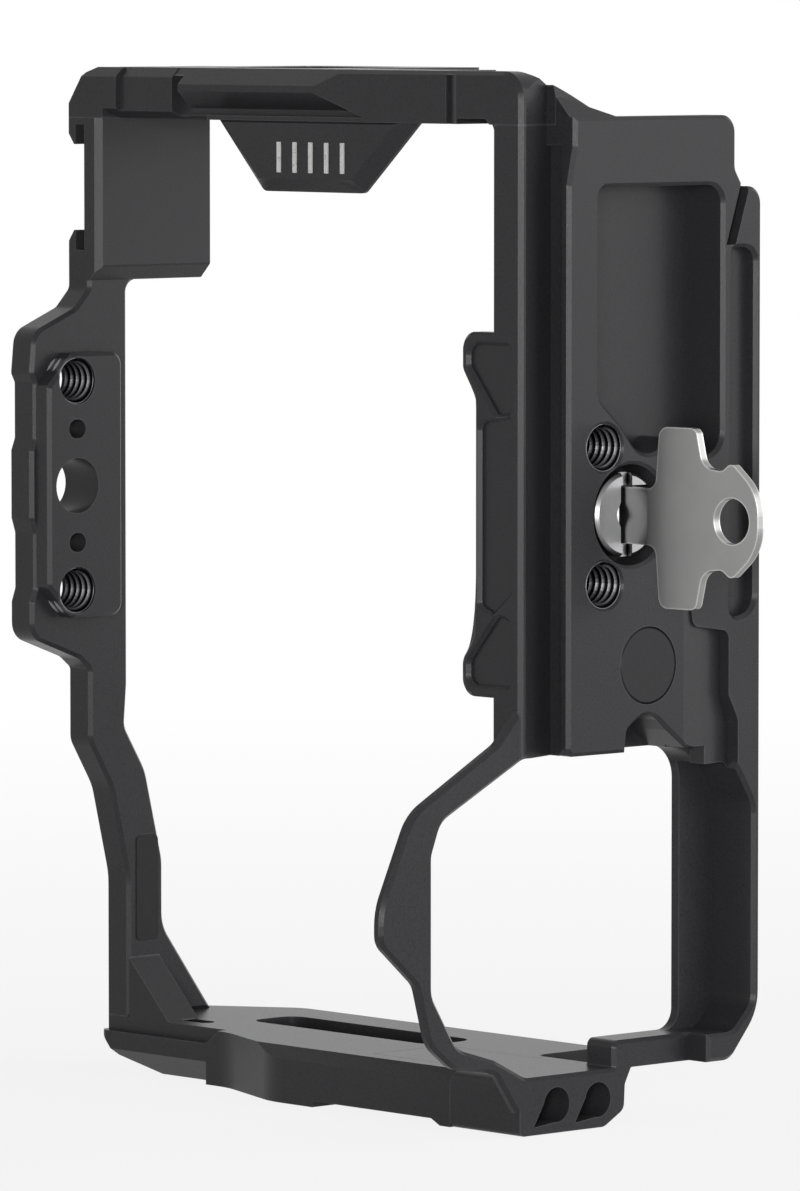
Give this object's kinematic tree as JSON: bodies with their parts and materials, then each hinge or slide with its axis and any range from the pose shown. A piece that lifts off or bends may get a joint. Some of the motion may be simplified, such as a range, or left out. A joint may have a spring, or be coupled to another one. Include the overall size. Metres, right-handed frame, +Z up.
{
  "type": "camera cage",
  "caption": "Machined cage that wraps a camera body, with dovetail rails, a cold shoe, threaded accessory holes, strap slots and a captive camera screw with a fold-down handle.",
  "frame": {"origin": "where the camera screw's axis meets the camera's bottom face", "axes": "+Z up as the cage stands, which is the camera's port side; -Y the way the camera's lens looks; +X out of the camera's bottom, along the camera screw"},
  "size_m": [0.1264, 0.0705, 0.1501],
  "materials": {
    "black_anodised": "bead-blasted, black anodised",
    "white_marking": "printed ink",
    "insert_steel": "bright wire coil",
    "black_coated_magnet": "black coated, flush",
    "pad_rubber": "matte",
    "black_steel": "black oxide",
    "pin_steel": "ground",
    "washer_plastic": "matte",
    "spring_steel": "spring steel",
    "bright_steel": "turned stainless steel",
    "handle_steel": "satin stainless steel"
  },
  "bodies": {
    "frame": {"base_plate": "black_anodised", "side_wall": "black_anodised", "top_bridge": "black_anodised", "grip_arm": "black_anodised", "tab_marking": "white_marking", "base_thread_inserts": "insert_steel", "bridge_thread_inserts": "insert_steel", "key_magnet": "black_coated_magnet", "base_pads": "pad_rubber", "bridge_pad": "pad_rubber", "base_corner_screws": "black_steel", "shoe_corner_screws": "black_steel", "rail_corner_screws": "black_steel", "foot_screws": "black_steel", "locating_pins": "pin_steel"},
    "screw_carrier": {"friction_washer": "washer_plastic", "retaining_clip": "spring_steel"},
    "camera_screw": {"camera_screw": "bright_steel", "handle_pin": "pin_steel"},
    "handle": {"screw_handle": "handle_steel"}
  },
  "joints": [
    {"name": "captive_travel", "type": "slide", "parent": "frame", "child": "screw_carrier", "axis": [1, 0, 0], "range_m": [0, 0.0014]},
    {"name": "screw_turn", "type": "hinge", "parent": "screw_carrier", "child": "camera_screw", "pos_m": [0, 0, 0], "axis": [1, 0, 0], "continuous": true},
    {"name": "handle_fold", "type": "hinge", "parent": "camera_screw", "child": "handle", "pos_m": [0.0065, 0, 0], "axis": [0, 0, 1], "range_deg": [0, 62]}
  ]
}
